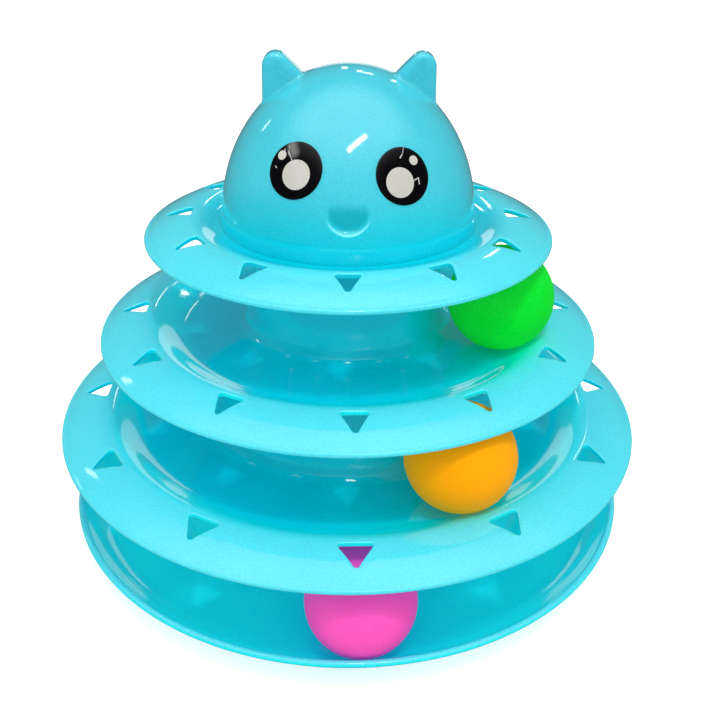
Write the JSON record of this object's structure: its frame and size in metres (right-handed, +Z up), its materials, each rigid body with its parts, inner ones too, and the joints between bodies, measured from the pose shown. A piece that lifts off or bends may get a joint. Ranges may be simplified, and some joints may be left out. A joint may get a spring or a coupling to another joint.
{
  "type": "cat ball track toy",
  "caption": "Round plastic tower of stacked ring tracks for a cat, with a hollow ball to bat along each track, triangular holes in the rims and a cat's head with ears on top.",
  "frame": {"origin": "centre of the base at the surface that the toy stands on", "axes": "+Z up along the tower's axis; -Y is the front, where the cat's face looks; +X is to the right of someone who looks at the face"},
  "size_m": [0.25, 0.25, 0.2035],
  "materials": {
    "cyan_plastic": "moulded, semi-gloss",
    "pink_plastic": "moulded, semi-gloss",
    "orange_plastic": "moulded, semi-gloss",
    "green_plastic": "moulded, semi-gloss",
    "sticker_black": "glossy film",
    "print_white": "glossy print",
    "pad_foam": "matt"
  },
  "bodies": {
    "base": {"base_tray": "cyan_plastic", "anti_slip_pads": "pad_foam"},
    "lower_tier": {"lower_tray": "cyan_plastic"},
    "upper_tier": {"upper_tray": "cyan_plastic"},
    "top": {"top_disc": "cyan_plastic", "cat_head": "cyan_plastic", "left_eye_sticker": "sticker_black", "right_eye_sticker": "sticker_black", "left_eye_print": "print_white", "right_eye_print": "print_white"},
    "ball_pink": {"pink_ball": "pink_plastic"},
    "ball_orange": {"orange_ball": "orange_plastic"},
    "ball_green": {"green_ball": "green_plastic"}
  },
  "joints": [
    {"name": "lower_tray_lift", "type": "slide", "parent": "base", "child": "lower_tier", "axis": [0, 0, 1], "range_m": [0, 0.06]},
    {"name": "upper_tray_lift", "type": "slide", "parent": "lower_tier", "child": "upper_tier", "axis": [0, 0, 1], "range_m": [0, 0.06]},
    {"name": "top_lift", "type": "slide", "parent": "upper_tier", "child": "top", "axis": [0, 0, 1], "range_m": [0, 0.06]},
    {"name": "pink_ball_run", "type": "hinge", "parent": "base", "child": "ball_pink", "pos_m": [0, 0, 0.026], "axis": [0, 0, 1], "continuous": true},
    {"name": "orange_ball_run", "type": "hinge", "parent": "lower_tier", "child": "ball_orange", "pos_m": [0, 0, 0.0726], "axis": [0, 0, 1], "continuous": true},
    {"name": "green_ball_run", "type": "hinge", "parent": "upper_tier", "child": "ball_green", "pos_m": [0, 0, 0.113], "axis": [0, 0, 1], "continuous": true}
  ]
}
